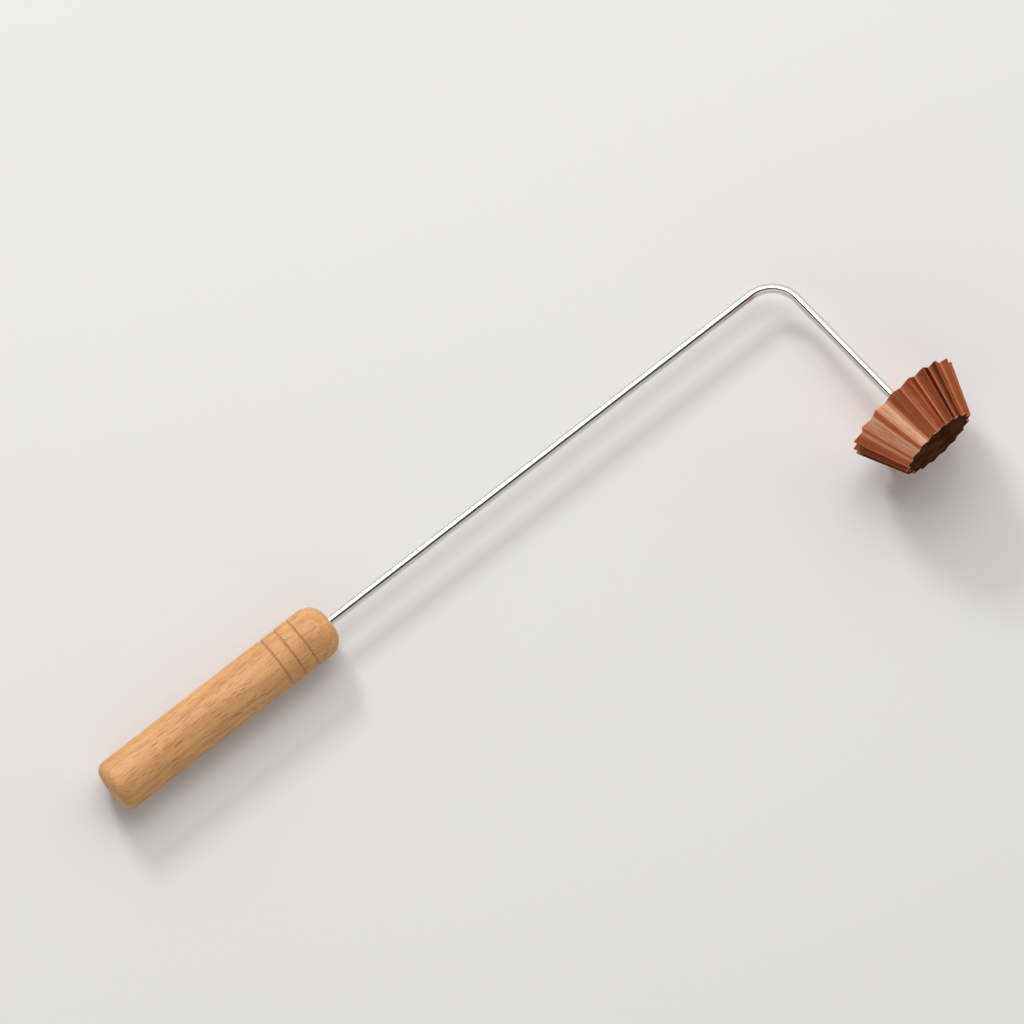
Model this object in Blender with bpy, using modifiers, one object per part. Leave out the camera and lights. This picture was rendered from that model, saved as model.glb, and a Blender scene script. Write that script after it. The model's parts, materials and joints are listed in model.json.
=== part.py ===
"""A fluted dipping iron for pastry cups, lying on a table.

A beech handle holds a stainless rod. The rod is bent nearly square, and its threaded end carries a
solid copper head with tapered flutes. The head is screwed up against a stop nut and a washer.

The iron is drawn in a tool frame: the origin is where the centre lines of the rod's two straight
stretches meet, the handle lies along -X, and the leg with the head points to -Y. An empty then lays
it down: the handle lies flat and the lowest ridge of the head's rim touches the table. The leg has
a frame of its own, whose Z axis is the leg's centre line and the thread's axis.
"""

import math

import bmesh
import bpy
import numpy as np
from mathutils import Matrix, Vector

# Handle, a turned stick with a blind bore
HANDLE_LENGTH = 0.1110
HANDLE_RADIUS = 0.0113
BUTT_CORNER_RADIUS = 0.0046
BUTT_DOME_ANGLE = math.radians(8)
FRONT_CORNER_RADIUS = 0.0080
GROOVE_COUNT = 3
GROOVE_SETBACK = 0.0139
GROOVE_SPACING = 0.0065
GROOVE_WIDTH = 0.0015
GROOVE_DEPTH = 0.00055
BORE_LEAD_IN = 0.0003

# Rod, round bar with one bend
ROD_RADIUS = 0.0020
TANG_LENGTH = 0.0600
TANG_TIP_CHAMFER = 0.0007
REACH = 0.2268
LEG_LENGTH = 0.0745
BEND_RADIUS = 0.0138
BEND_ANGLE = math.radians(85.5)

# Thread at the rod's end, drawn as a plain stretch at half the depth of the thread
THREAD_DEPTH = 0.0003
THREAD_IN_HEAD = 0.0100
THREAD_RUNOUT = 0.0004
THREAD_TIP_CHAMFER = 0.0006

# Stop nut and washer
NUT_ACROSS_FLATS = 0.0070
NUT_HEIGHT = 0.0032
NUT_CHAMFER_ANGLE = math.radians(30)
NUT_SIDES = 6
WASHER_RADIUS = 0.0045
WASHER_THICKNESS = 0.0008

# Fluted head
HEAD_HEIGHT = 0.0217
FLUTE_COUNT = 18
FLUTE_TURN = math.radians(7.5)
RIM_RADIUS = 0.0272
RIM_FLUTE_DEPTH = 0.0032
RIM_CREST_WIDTH = 0.0006
NARROW_RADIUS = 0.0177
NARROW_FLUTE_DEPTH = 0.0020
NARROW_CREST_WIDTH = 0.0004
VALLEY_WIDTH_SHARE = 0.9
HOLE_SPARE_DEPTH = 0.0015
HOLE_COUNTERSINK = 0.0005
DRILL_POINT_ANGLE = math.radians(31)

# Clearances, and how far a cutter runs past what it cuts
BORE_CLEARANCE = 0.0003
SEAT_GAP = 0.0003
OVERRUN = 0.0020

# How finely round forms are divided
TURNED_STEPS = 48
SMALL_TURNED_STEPS = 36
ARC_STEPS = 8
BEND_STEPS = 14
ROD_BEVEL_RESOLUTION = 8
MERGE_DISTANCE = 0.00001
SHARP_ANGLE = math.radians(30)

COLLECTION_NAME = "dipping_iron"
CUTTER_COLLECTION_NAME = "cutters"


def clear_scene():
    for obj in list(bpy.data.objects):
        bpy.data.objects.remove(obj, do_unlink=True)


def new_collection(name):
    collection = bpy.data.collections.new(name)
    bpy.context.scene.collection.children.link(collection)
    return collection


def material(name, colour, roughness, metallic):
    made = bpy.data.materials.new(name)
    made.use_nodes = True
    shader = made.node_tree.nodes["Principled BSDF"]
    shader.inputs["Base Color"].default_value = (*colour, 1.0)
    shader.inputs["Roughness"].default_value = roughness
    shader.inputs["Metallic"].default_value = metallic
    made.diffuse_color = (*colour, 1.0)
    return made


def add_object(name, data, collection, parent=None):
    obj = bpy.data.objects.new(name, data)
    collection.objects.link(obj)
    obj.parent = parent
    return obj


def add_empty(name, collection, parent=None):
    empty = add_object(name, None, collection, parent)
    empty.empty_display_size = HANDLE_RADIUS
    return empty


def hide_cutter(obj):
    obj.hide_render = True
    obj.display_type = "WIRE"


def arc(centre, radius, start, end, steps):
    """Points (radius, height) on an arc, from angle start to angle end, counted from the X axis."""
    angles = np.linspace(start, end, steps + 1)
    return [(centre[0] + radius * math.cos(a), centre[1] + radius * math.sin(a)) for a in angles]


def turned(name, profile, closed, steps, collection, parent=None):
    """Turns a profile of (radius, height) points about Z. It runs down the solid's outer side."""
    mesh = bpy.data.meshes.new(name)
    edges = [(i, i + 1) for i in range(len(profile) - 1)]
    if closed:
        edges.append((len(profile) - 1, 0))
    mesh.from_pydata([(radius, 0, height) for radius, height in profile], edges, [])
    obj = add_object(name, mesh, collection, parent)
    screw = obj.modifiers.new("turn", "SCREW")
    screw.axis = "Z"
    screw.steps = steps
    screw.render_steps = steps
    screw.use_merge_vertices = True
    screw.merge_threshold = MERGE_DISTANCE
    return obj


def bake(obj):
    """Takes the result of the modifiers as the mesh, and shades it smooth with its edges sharp."""
    bpy.context.view_layer.update()
    graph = bpy.context.evaluated_depsgraph_get()
    mesh = bpy.data.meshes.new_from_object(obj.evaluated_get(graph))
    obj.modifiers.clear()
    obj.data = mesh
    mesh.name = obj.name
    mesh.shade_smooth()
    mesh.set_sharp_from_angle(angle=SHARP_ANGLE)


def boolean(obj, cutter, operation):
    modifier = obj.modifiers.new(cutter.name, "BOOLEAN")
    modifier.operation = operation
    modifier.solver = "EXACT"
    modifier.object = cutter


def handle_profile():
    """Up the bore, over the front, down past the grooves and round the butt. Height 0 is the butt."""
    bore_radius = ROD_RADIUS + BORE_CLEARANCE
    bore_bottom = HANDLE_LENGTH - TANG_LENGTH - SEAT_GAP
    drill_tip = bore_bottom - bore_radius * math.tan(DRILL_POINT_ANGLE)
    points = [
        (0, drill_tip),
        (bore_radius, bore_bottom),
        (bore_radius, HANDLE_LENGTH - BORE_LEAD_IN),
        (bore_radius + BORE_LEAD_IN, HANDLE_LENGTH),
    ]
    front = (HANDLE_RADIUS - FRONT_CORNER_RADIUS, HANDLE_LENGTH - FRONT_CORNER_RADIUS)
    points += arc(front, FRONT_CORNER_RADIUS, math.radians(90), 0, ARC_STEPS)
    for groove in range(GROOVE_COUNT):
        middle = HANDLE_LENGTH - GROOVE_SETBACK - groove * GROOVE_SPACING
        points += [
            (HANDLE_RADIUS, middle + GROOVE_WIDTH / 2),
            (HANDLE_RADIUS - GROOVE_DEPTH, middle),
            (HANDLE_RADIUS, middle - GROOVE_WIDTH / 2),
        ]
    corner_radius = HANDLE_RADIUS - BUTT_CORNER_RADIUS
    dome_edge = corner_radius + BUTT_CORNER_RADIUS * math.sin(BUTT_DOME_ANGLE)
    dome_radius = dome_edge / math.sin(BUTT_DOME_ANGLE)
    dome_height = dome_radius * (1 - math.cos(BUTT_DOME_ANGLE))
    corner = (corner_radius, dome_height + BUTT_CORNER_RADIUS * math.cos(BUTT_DOME_ANGLE))
    down = math.radians(-90)
    points += arc(corner, BUTT_CORNER_RADIUS, 0, down + BUTT_DOME_ANGLE, ARC_STEPS)
    dome = arc((0, dome_radius), dome_radius, down + BUTT_DOME_ANGLE, down, ARC_STEPS // 2)
    points += dome[1:-1]
    points.append((0, 0))
    return points


def make_handle(parts, tool):
    obj = turned("handle", handle_profile(), False, TURNED_STEPS, parts, tool)
    bake(obj)
    obj.location = (-REACH - HANDLE_LENGTH, 0, 0)
    obj.rotation_euler = (0, math.radians(90), 0)
    obj.data.materials.append(material("beech", (0.62, 0.36, 0.16), 0.55, 0.0))
    return obj


def leg_direction():
    return Vector((math.cos(BEND_ANGLE), -math.sin(BEND_ANGLE), 0))


def nut_bottom():
    """How far along the leg the stop nut ends, on the side of the head."""
    return LEG_LENGTH - SEAT_GAP - WASHER_THICKNESS - SEAT_GAP


def rod_stations():
    """Points along the rod's centre line with the radius there, from the tang's end to the tip."""
    along = Vector((1, 0, 0))
    leg = leg_direction()
    corner_length = BEND_RADIUS * math.tan(BEND_ANGLE / 2)
    start = -REACH - TANG_LENGTH
    stations = [
        (along * start, ROD_RADIUS - TANG_TIP_CHAMFER),
        (along * (start + TANG_TIP_CHAMFER), ROD_RADIUS),
    ]
    for angle in np.linspace(0, BEND_ANGLE, BEND_STEPS + 1):
        x = -corner_length + BEND_RADIUS * math.sin(angle)
        y = -BEND_RADIUS * (1 - math.cos(angle))
        stations.append((Vector((x, y, 0)), ROD_RADIUS))
    thread_radius = ROD_RADIUS - THREAD_DEPTH
    shoulder = nut_bottom() - NUT_HEIGHT - SEAT_GAP
    tip = LEG_LENGTH + THREAD_IN_HEAD
    stations += [
        (leg * (shoulder - THREAD_RUNOUT), ROD_RADIUS),
        (leg * shoulder, thread_radius),
        (leg * (tip - THREAD_TIP_CHAMFER), thread_radius),
        (leg * tip, thread_radius - THREAD_TIP_CHAMFER),
    ]
    return stations


def make_rod(parts, tool):
    curve = bpy.data.curves.new("rod", "CURVE")
    curve.dimensions = "3D"
    curve.bevel_depth = ROD_RADIUS
    curve.bevel_resolution = ROD_BEVEL_RESOLUTION
    curve.use_fill_caps = True
    stations = rod_stations()
    spline = curve.splines.new("POLY")
    spline.points.add(len(stations) - 1)
    for point, (place, radius) in zip(spline.points, stations):
        point.co = (*place, 1)
        point.radius = radius / ROD_RADIUS
    obj = add_object("rod", curve, parts, tool)
    curve.materials.append(material("stainless_rod", (0.63, 0.62, 0.60), 0.22, 1.0))
    return obj


def make_stop_nut(parts, cutters, leg):
    """A hexagon whose corners are turned off at both ends, bored for the thread."""
    hole = ROD_RADIUS
    flat = NUT_ACROSS_FLATS / 2
    corner = flat / math.cos(math.pi / NUT_SIDES)
    chamfer = (corner - flat) * math.tan(NUT_CHAMFER_ANGLE)
    profile = [
        (hole, NUT_HEIGHT),
        (flat, NUT_HEIGHT),
        (corner, NUT_HEIGHT - chamfer),
        (corner + OVERRUN, NUT_HEIGHT - chamfer),
        (corner + OVERRUN, chamfer),
        (corner, chamfer),
        (flat, 0),
        (hole, 0),
    ]
    obj = turned("stop_nut", profile, True, SMALL_TURNED_STEPS, parts, leg)
    obj.location = (0, 0, nut_bottom() - NUT_HEIGHT)

    mesh = bpy.data.meshes.new("nut_hexagon")
    shape = bmesh.new()
    bmesh.ops.create_cone(
        shape,
        segments=NUT_SIDES,
        cap_ends=True,
        radius1=corner,
        radius2=corner,
        depth=NUT_HEIGHT + 2 * OVERRUN,
    )
    shape.to_mesh(mesh)
    shape.free()
    hexagon = add_object("nut_hexagon", mesh, cutters, leg)
    hexagon.location = obj.location + Vector((0, 0, NUT_HEIGHT / 2))
    hide_cutter(hexagon)

    boolean(obj, hexagon, "INTERSECT")
    bake(obj)
    obj.data.materials.append(material("stainless_nut", (0.58, 0.57, 0.55), 0.30, 1.0))
    return obj


def make_washer(parts, leg):
    hole = ROD_RADIUS
    profile = [
        (hole, WASHER_THICKNESS),
        (WASHER_RADIUS, WASHER_THICKNESS),
        (WASHER_RADIUS, 0),
        (hole, 0),
    ]
    obj = turned("washer", profile, True, SMALL_TURNED_STEPS, parts, leg)
    obj.location = (0, 0, LEG_LENGTH - SEAT_GAP - WASHER_THICKNESS)
    bake(obj)
    obj.data.materials.append(material("stainless_washer", (0.60, 0.59, 0.57), 0.28, 1.0))
    return obj


def flute_section(radius, depth, crest_width):
    """One turn of the fluted outline: a narrow crest and a narrower valley floor for each flute."""
    valley = radius - depth
    valley_width = crest_width * VALLEY_WIDTH_SHARE
    points = []
    for flute in range(FLUTE_COUNT):
        ridge_angle = math.tau * flute / FLUTE_COUNT
        valley_angle = ridge_angle + math.pi / FLUTE_COUNT
        for at, angle, width in (
            (radius, ridge_angle, crest_width),
            (valley, valley_angle, valley_width),
        ):
            for side in (-1, 1):
                turn = angle + side * math.asin(width / 2 / at)
                points.append(Vector((at * math.cos(turn), at * math.sin(turn), 0)))
    return points


def fluted_mesh():
    """The fluted block: the rim's outline, drawn out to the narrow end's outline."""
    rim = flute_section(RIM_RADIUS, RIM_FLUTE_DEPTH, RIM_CREST_WIDTH)
    narrow = flute_section(NARROW_RADIUS, NARROW_FLUTE_DEPTH, NARROW_CREST_WIDTH)
    shape = bmesh.new()
    face = shape.faces.new([shape.verts.new(point) for point in rim])
    shape.verts.index_update()
    drawn = bmesh.ops.extrude_face_region(shape, geom=[face])
    top = next(item for item in drawn["geom"] if isinstance(item, bmesh.types.BMFace))
    for vert in top.verts:
        number = min(range(len(rim)), key=lambda i: (rim[i] - vert.co).length)
        vert.co = narrow[number] + Vector((0, 0, HEAD_HEIGHT))
    bmesh.ops.recalc_face_normals(shape, faces=shape.faces)
    mesh = bpy.data.meshes.new("fluted_head")
    shape.to_mesh(mesh)
    shape.free()
    return mesh


def make_fluted_head(parts, cutters, leg):
    """Its origin is on the thread's axis in the plane of the rim, and its Z points to the narrow end."""
    obj = add_object("fluted_head", fluted_mesh(), parts, leg)
    obj.location = (0, 0, LEG_LENGTH)
    obj.rotation_euler = (0, 0, FLUTE_TURN)

    hole = ROD_RADIUS
    depth = THREAD_IN_HEAD + HOLE_SPARE_DEPTH
    profile = [
        (0, depth + hole * math.tan(DRILL_POINT_ANGLE)),
        (hole, depth),
        (hole, HOLE_COUNTERSINK),
        (hole + HOLE_COUNTERSINK, 0),
        (hole + HOLE_COUNTERSINK, -OVERRUN),
        (0, -OVERRUN),
    ]
    cutter = turned("thread_hole", profile, False, SMALL_TURNED_STEPS, cutters, leg)
    cutter.location = obj.location
    hide_cutter(cutter)

    boolean(obj, cutter, "DIFFERENCE")
    bake(obj)
    obj.data.materials.append(material("copper", (0.60, 0.27, 0.15), 0.34, 1.0))
    return obj


def add_leg_frame(parts, tool):
    """Z runs along the leg to the head, and X points up from the plane of the bend."""
    leg = add_empty("leg_frame", parts, tool)
    up = Vector((0, 0, 1))
    along = leg_direction()
    axes = Matrix((up, along.cross(up), along)).transposed()
    leg.rotation_euler = axes.to_euler()
    return leg


def roll_at_rest():
    """How far the iron rolls about the handle, so that no point of the rim is below the table."""
    leg = leg_direction()
    across = leg.cross(Vector((0, 0, 1)))
    flute_turn = Matrix.Rotation(FLUTE_TURN, 3, "Z")
    rolls = []
    for point in flute_section(RIM_RADIUS, RIM_FLUTE_DEPTH, RIM_CREST_WIDTH):
        on_rim = flute_turn @ point
        out = -(LEG_LENGTH * leg + on_rim.y * across).y
        up = on_rim.x
        rolls.append(-math.atan2(up, out) - math.asin(HANDLE_RADIUS / math.hypot(up, out)))
    return max(rolls)


def lay_down(tool, parts):
    """Rolls the iron to rest, and brings the middle of its foot to the origin."""
    tool.rotation_euler = (-roll_at_rest(), 0, 0)
    bpy.context.view_layer.update()
    graph = bpy.context.evaluated_depsgraph_get()
    corners = []
    for obj in parts:
        evaluated = obj.evaluated_get(graph)
        mesh = evaluated.to_mesh()
        corners += [evaluated.matrix_world @ vert.co for vert in mesh.vertices]
        evaluated.to_mesh_clear()
    low = np.min(corners, axis=0)
    high = np.max(corners, axis=0)
    tool.location = (-(low[0] + high[0]) / 2, -(low[1] + high[1]) / 2, -low[2])
    bpy.context.view_layer.update()


def main():
    clear_scene()
    parts = new_collection(COLLECTION_NAME)
    cutters = new_collection(CUTTER_COLLECTION_NAME)
    tool = add_empty("tool_frame", parts)
    leg = add_leg_frame(parts, tool)
    made = [
        make_handle(parts, tool),
        make_rod(parts, tool),
        make_stop_nut(parts, cutters, leg),
        make_washer(parts, leg),
        make_fluted_head(parts, cutters, leg),
    ]
    lay_down(tool, made)
    cutters.hide_render = True


main()
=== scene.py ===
"""The looks of a fluted dipping iron: turned beech, drawn stainless bar and machined copper.

Every piece is built again over its solid, at the same size and place, with the edges, the thread
and the tool marks that the solid leaves out. Lengths are in metres. Each piece carries a UV map in
millimetres, where u runs round the piece and v runs along it, for the marks of tools.
"""

import json
import math

import bmesh
import bpy
import numpy as np
from mathutils import Matrix, Vector


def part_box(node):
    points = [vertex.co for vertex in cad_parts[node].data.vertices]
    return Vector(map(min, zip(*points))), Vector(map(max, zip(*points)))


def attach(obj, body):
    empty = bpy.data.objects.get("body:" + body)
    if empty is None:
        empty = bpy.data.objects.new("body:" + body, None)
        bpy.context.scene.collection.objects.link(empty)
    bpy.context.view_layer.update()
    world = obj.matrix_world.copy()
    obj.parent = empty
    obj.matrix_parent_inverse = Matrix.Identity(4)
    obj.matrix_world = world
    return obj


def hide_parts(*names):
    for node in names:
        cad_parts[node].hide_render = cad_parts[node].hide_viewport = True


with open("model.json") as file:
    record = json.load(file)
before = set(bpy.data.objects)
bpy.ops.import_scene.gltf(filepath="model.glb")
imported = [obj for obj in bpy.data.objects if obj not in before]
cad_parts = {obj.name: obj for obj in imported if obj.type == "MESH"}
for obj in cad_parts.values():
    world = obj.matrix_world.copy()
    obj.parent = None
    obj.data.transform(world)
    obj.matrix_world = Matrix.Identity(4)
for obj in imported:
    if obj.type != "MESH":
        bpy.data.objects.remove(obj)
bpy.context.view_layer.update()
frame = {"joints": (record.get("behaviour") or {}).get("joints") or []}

MM_PER_M = 1000

# Handle, a turned stick. Its length, its radius and its place come from its solid, and the numbers
# for its grain are in millimetres
BUTT_CORNER_RADIUS = 0.0046
BUTT_DOME_ANGLE = math.radians(8)
FRONT_CORNER_RADIUS = 0.0080
GROOVE_COUNT = 3
GROOVE_SETBACK = 0.0139
GROOVE_SPACING = 0.0065
GROOVE_WIDTH = 0.0015
GROOVE_DEPTH = 0.00055
GROOVE_LIP_RADIUS = 0.00035
GROOVE_FLOOR_RADIUS = 0.00015
MOUTH_LEAD_IN = 0.0002
PITH_SHIFT = (0, -31.0, 46.0)
RINGS_PER_MM = 0.36
GRAIN_WANDER = 3.5

# Rod
ROD_RADIUS = 0.0020
ROD_FIT = 0.00004
TANG_LENGTH = 0.0600
TANG_TIP_CHAMFER = 0.0007
BEND_RADIUS = 0.0138

# Thread, from a little above the nut to the rod's tip
THREAD_PITCH = 0.0007
THREAD_CREST_RADIUS = 0.00194
THREAD_DEPTH = 0.00038
THREAD_ROOT_RADIUS = THREAD_CREST_RADIUS - THREAD_DEPTH
THREAD_CREST_SHARE = 0.14
THREAD_ROOT_SHARE = 0.22
THREAD_RUNOUT = 0.0008
THREAD_IN_HEAD = 0.0100
THREAD_TIP_CHAMFER = 0.0006

# Stop nut and washer. The nut's end faces reach out to a share of its flats, and from there a chamfer
# runs down to the sides
NUT_ACROSS_FLATS = 0.0070
NUT_HEIGHT = 0.0032
NUT_SIDES = 6
NUT_CHAMFER_ANGLE = math.radians(30)
NUT_FACE_SHARE = 0.97
NUT_EDGE_RADIUS = 0.00012
NUT_CORNER_EASE = 0.2
NUT_MOUTH_CHAMFER = 0.0003
WASHER_RADIUS = 0.0045
WASHER_THICKNESS = 0.0008
WASHER_EDGE_RADIUS = 0.00018
WASHER_SHARP_RADIUS = 0.00006
SEAT_GAP = 0.0003

# Fluted head
FLUTE_COUNT = 18
CORNERS_PER_FLUTE = 4
FLUTE_TURN = math.radians(7.5)
RIM_RADIUS = 0.0272
RIM_FLUTE_DEPTH = 0.0032
RIM_CREST_WIDTH = 0.0006
NARROW_RADIUS = 0.0177
NARROW_FLUTE_DEPTH = 0.0020
NARROW_CREST_WIDTH = 0.0004
VALLEY_WIDTH_SHARE = 1.3
NARROW_SCALE = 0.65
HEAD_HEIGHT = 0.0217
CREST_EDGE_RADIUS = 0.00028
VALLEY_EDGE_RADIUS = 0.00010
HEAD_EDGE_RADIUS = 0.00016
HOLE_SPARE_DEPTH = 0.0015
HOLE_COUNTERSINK = 0.0005
DRILL_POINT_ANGLE = math.radians(31)

# Faults of the filing: each ridge's turn and radius by chance, then the places, as (ridge number,
# spread, amount), where ridges and valleys wandered and where ridges were left low
RIDGE_TURN_FAULT = math.radians(0.35)
RIDGE_RADIUS_FAULT = 0.00012
WANDERED_RIDGES = ((15.3, 1.1, math.radians(5.5)), (3.0, 1.1, math.radians(2.5)))
WANDERED_VALLEYS = ((14.5, 1.0, math.radians(-4.0)),)
LOW_RIDGES = ((4.2, 0.9, 0.0010), (14.4, 1.0, 0.0007))
BURR_SIZE = 0.00030
BURR_REACH = 0.0009
BURR_RANGE = (-1.0, 0.4)
FAULT_SEED = 7

# Painted light and shade on the flutes, as (ridge number, spread, share): painted light on the sides
# before and after a ridge, a painted highlight next to the valley before it and on its crest, rim wear
# with a painted highlight at its end on the rim, and painted shade on the sides after a ridge and
# before it
PAINTED_LIGHT_BEFORE = ((1.25, 0.95, 1.1), (2.1, 0.5, 0.18))
PAINTED_LIGHT_AFTER = ((1.2, 1.2, 0.20),)
PAINTED_HIGHLIGHT_NEAR_VALLEY = ((3.1, 0.7, 0.75),)
PAINTED_HIGHLIGHT_CREST = ((13.2, 0.7, 0.8),)
RIM_WEAR_AND_HIGHLIGHT = ((1.6, 0.9, 0.5), (4.6, 0.7, 1.0))
RIM_WEAR_AND_HIGHLIGHT_REACH = 0.0018
PAINTED_SHADE_AFTER = ((15.0, 1.4, 0.8), (4.8, 1.4, 1.0), (0.0, 1.2, 0.25))
PAINTED_SHADE_BEFORE = ((16.0, 0.8, 0.95), (0.0, 0.9, 0.45), (4.8, 1.4, 1.0))

# How the painted light and shade change across a side, from the crest to the valley, with a painted
# highlight strip towards the valley
HIGHLIGHT_STRIP_START = 0.55
HIGHLIGHT_STRIP_SHARE = 0.75
PAINTED_LIGHT_AT_CREST = 0.6
PAINTED_SHADE_AT_CREST = 1.1
PAINTED_SHADE_AT_VALLEY = 0.7
CREST_PAINTED_LIGHT_SHARE = 0.4
CREST_PAINTED_SHADE_SHARE = 0.5

# Colours of the beech: the wood, its late bands, its fibres, what marks it, and the painted shade in
# its grooves
BEECH_PALE = ((0.65, 0.336, 0.136), (0.71, 0.392, 0.168))
BEECH_LATE = (0.50, 0.222, 0.080)
BEECH_FIBRE = (0.46, 0.190, 0.062)
BEECH_RAY = (0.78, 0.52, 0.28)
BEECH_SPECK = (0.30, 0.125, 0.040)
BEECH_PORE = (0.140, 0.048, 0.013)
BEECH_GROOVE_SHADE = (0.34, 0.145, 0.050)

# Colours of the steel pieces, and of the drawn lines on them
ROD_STEEL = (0.84, 0.83, 0.81)
NUT_STEEL = (0.76, 0.75, 0.73)
WASHER_STEEL = (0.78, 0.77, 0.75)
STEEL_LINE = (0.36, 0.35, 0.34)

# Colours of the copper, as one or as (first, second), and the streaks that multiply them, with the
# painted light and shade among them
COPPER_PLAIN = ((0.50, 0.140, 0.053), (0.58, 0.180, 0.075))
# Painted light: half lit and fully lit copies of the copper
COPPER_PAINTED_HALF_LIT = ((0.93, 0.400, 0.220), (0.97, 0.450, 0.260))
COPPER_PAINTED_LIT = ((0.98, 0.640, 0.450), (1.00, 0.720, 0.540))
# Painted shade on the flute sides
COPPER_PAINTED_SHADE = (0.078, 0.020, 0.008)
COPPER_MOTTLE = (0.42, 0.120, 0.050)
# Painted highlight lines down the valleys and crests
COPPER_HIGHLIGHT_LINE = ((0.66, 0.240, 0.135), (0.96, 0.580, 0.390))
# Bright nicks on the end edges, partly painted glints
COPPER_NICK_AND_GLINT = (0.93, 0.560, 0.380)
COPPER_SHEEN = (0.90, 0.52, 0.36)
# The narrow end: soot, darkened further as painted shade
SOOT_AND_SHADE = ((0.042, 0.016, 0.008), (0.095, 0.034, 0.016))
STREAK = ((0.68, 0.56, 0.48), (1.32, 1.36, 1.36))
FAINT_STREAK = ((0.88, 0.76, 0.68), (1.06, 1.00, 0.96))
FINE_STREAK = ((0.78, 0.70, 0.64), (1.22, 1.24, 1.24))

# How finely the forms are divided
TURNED_STEPS = 128
ROD_STEPS = 64
NUT_STEPS = 120
ARC_STEPS = 10
SMALL_ARC_STEPS = 3
BEND_STEPS = 60
THREAD_STEPS_PER_TURN = 12
FACET_STEPS = 4
FACET_ENDS = (0.15, 0.85)
SLANT_STEPS = 26
FACE_STEPS = 6
FACE_SHARE = 0.96
MERGE_DISTANCE = 0.0000005
HOLD_DISTANCE = 0.0003
LONG_STRAIGHT = 4 * HOLD_DISTANCE

# Camera, fitted to the photo: a long lens, nearly straight above
CAMERA_LENS = 438.8
CAMERA_SENSOR = 36.0
CAMERA_DISTANCE = 5.002
CAMERA_TARGET = Vector((0.0115, 0.0339, 0))
CAMERA_TURNS = (math.radians(6.14), math.radians(-2.47), math.radians(-38.07))

# Studio: a low lamp, a broad one above it, and a dark strip of ceiling between two pale sides
FLOOR_SIZE = 20.0
FLOOR_COLOUR = (0.76, 0.76, 0.755)
FLOOR_DROP = 0.0002
LAMP_DISTANCE = 2.6
LAMPS = {
    "low_lamp": {"bearing": 80, "elevation": 33, "size": (0.5, 0.4), "power": 24.5},
    "broad_lamp": {"bearing": 58, "elevation": 57, "size": (1.9, 1.4), "power": 23.0},
}
ACROSS_CEILING = (0.808, 0.630, 0.118)
FRONT_LIGHT = 1.08
FRONT_LIGHT_EDGES = (0.17, 0.56)
BACK_LIGHT = 0.66
BACK_LIGHT_EDGES = (-0.12, -0.40)
CEILING_LIGHT = 0.05
HORIZON_SHARE = 0.12
HORIZON_BLUR = 0.30
SKY_COLOUR = (1.0, 0.985, 0.965)


def frame_on(origin, along, up):
    """A matrix whose Z axis is along and whose X axis is up."""
    basis = Matrix((up, along.cross(up), along)).transposed().to_4x4()
    return Matrix.Translation(origin) @ basis


# Where the pieces lie, read from the solids and the joint
HEAD_TURN = next(joint for joint in frame["joints"] if joint["name"] == "head_turn")
ALONG_HANDLE = Vector((1, 0, 0))
ALONG_LEG = Vector(HEAD_TURN["axis"]).normalized()
BEND_NORMAL = ALONG_LEG.cross(ALONG_HANDLE).normalized()
RIM_CENTRE = Vector(HEAD_TURN["pos_m"])
HANDLE_LOW, HANDLE_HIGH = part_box("handle")
HANDLE_MIDDLE = (HANDLE_LOW + HANDLE_HIGH) / 2
HANDLE_LENGTH = HANDLE_HIGH.x - HANDLE_LOW.x
HANDLE_RADIUS = (HANDLE_HIGH.y - HANDLE_LOW.y) / 2
BUTT_CENTRE = Vector((HANDLE_LOW.x, HANDLE_MIDDLE.y, HANDLE_MIDDLE.z))
FRONT_CENTRE = BUTT_CENTRE + ALONG_HANDLE * HANDLE_LENGTH
LEG_LENGTH = (RIM_CENTRE.y - BUTT_CENTRE.y) / ALONG_LEG.y
CORNER = RIM_CENTRE - ALONG_LEG * LEG_LENGTH
LEG = frame_on(CORNER, ALONG_LEG, BEND_NORMAL)
NUT_TOP = LEG_LENGTH - SEAT_GAP - WASHER_THICKNESS - SEAT_GAP - NUT_HEIGHT


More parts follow.
